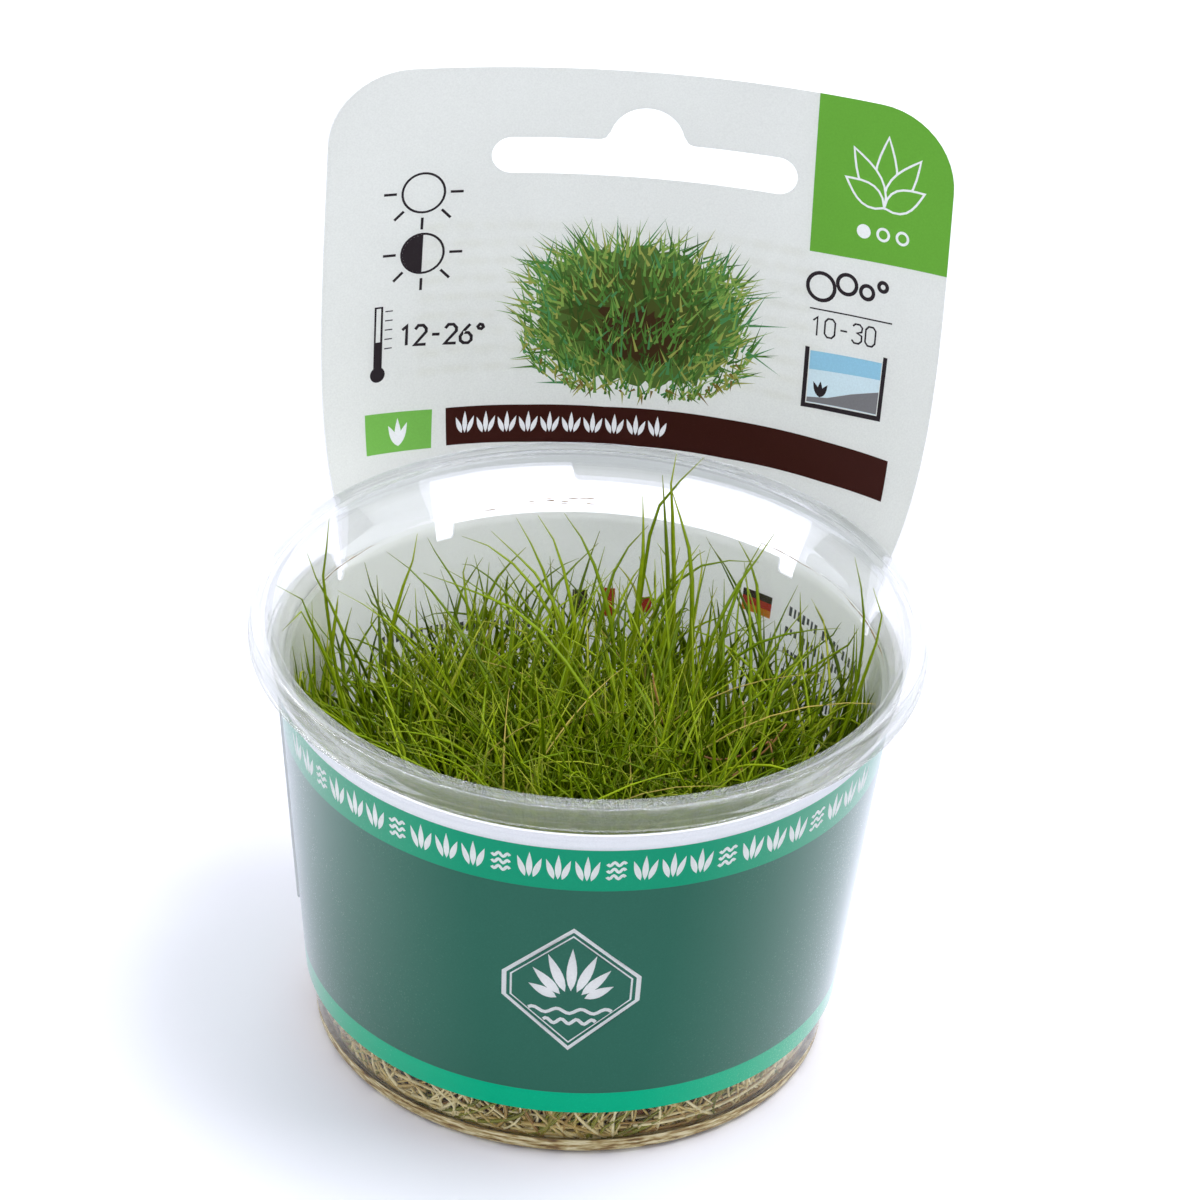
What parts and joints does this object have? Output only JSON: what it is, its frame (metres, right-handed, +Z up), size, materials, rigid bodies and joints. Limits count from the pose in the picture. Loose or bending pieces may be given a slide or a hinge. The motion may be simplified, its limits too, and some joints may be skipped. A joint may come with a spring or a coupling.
{
  "type": "potted dwarf hairgrass",
  "caption": "Tufts of fine aquarium grass on a mat of pale roots, in a clear tapered cup with a ribbed rim, wrapped in a printed sheet that rises behind as a hang card.",
  "frame": {"origin": "centre of the cup's base, at the height of the surface that it stands on", "axes": "+Z up along the cup's axis; the hang card stands at +Y; the front of the cup faces -Y; +X to the right seen from the front"},
  "size_m": [0.07, 0.0717, 0.093],
  "materials": {
    "clear_plastic": "clear, glossy",
    "printed_film": "printed film, semi-gloss",
    "roots": "pale fibrous roots with brown growing medium",
    "grass": "living leaf, satin"
  },
  "bodies": {
    "root": {"cup": "clear_plastic", "wrap_card": "printed_film", "root_mat": "roots", "hairgrass_tuft_01": "grass", "hairgrass_tuft_02": "grass", "hairgrass_tuft_03": "grass", "hairgrass_tuft_04": "grass", "hairgrass_tuft_05": "grass", "hairgrass_tuft_06": "grass", "hairgrass_tuft_07": "grass", "hairgrass_tuft_08": "grass", "hairgrass_tuft_09": "grass", "hairgrass_tuft_10": "grass", "hairgrass_tuft_11": "grass", "hairgrass_tuft_12": "grass", "hairgrass_tuft_13": "grass", "hairgrass_tuft_14": "grass", "hairgrass_tuft_15": "grass", "hairgrass_tuft_16": "grass", "hairgrass_tuft_17": "grass", "hairgrass_tuft_18": "grass", "hairgrass_tuft_19": "grass"}
  },
  "joints": []
}
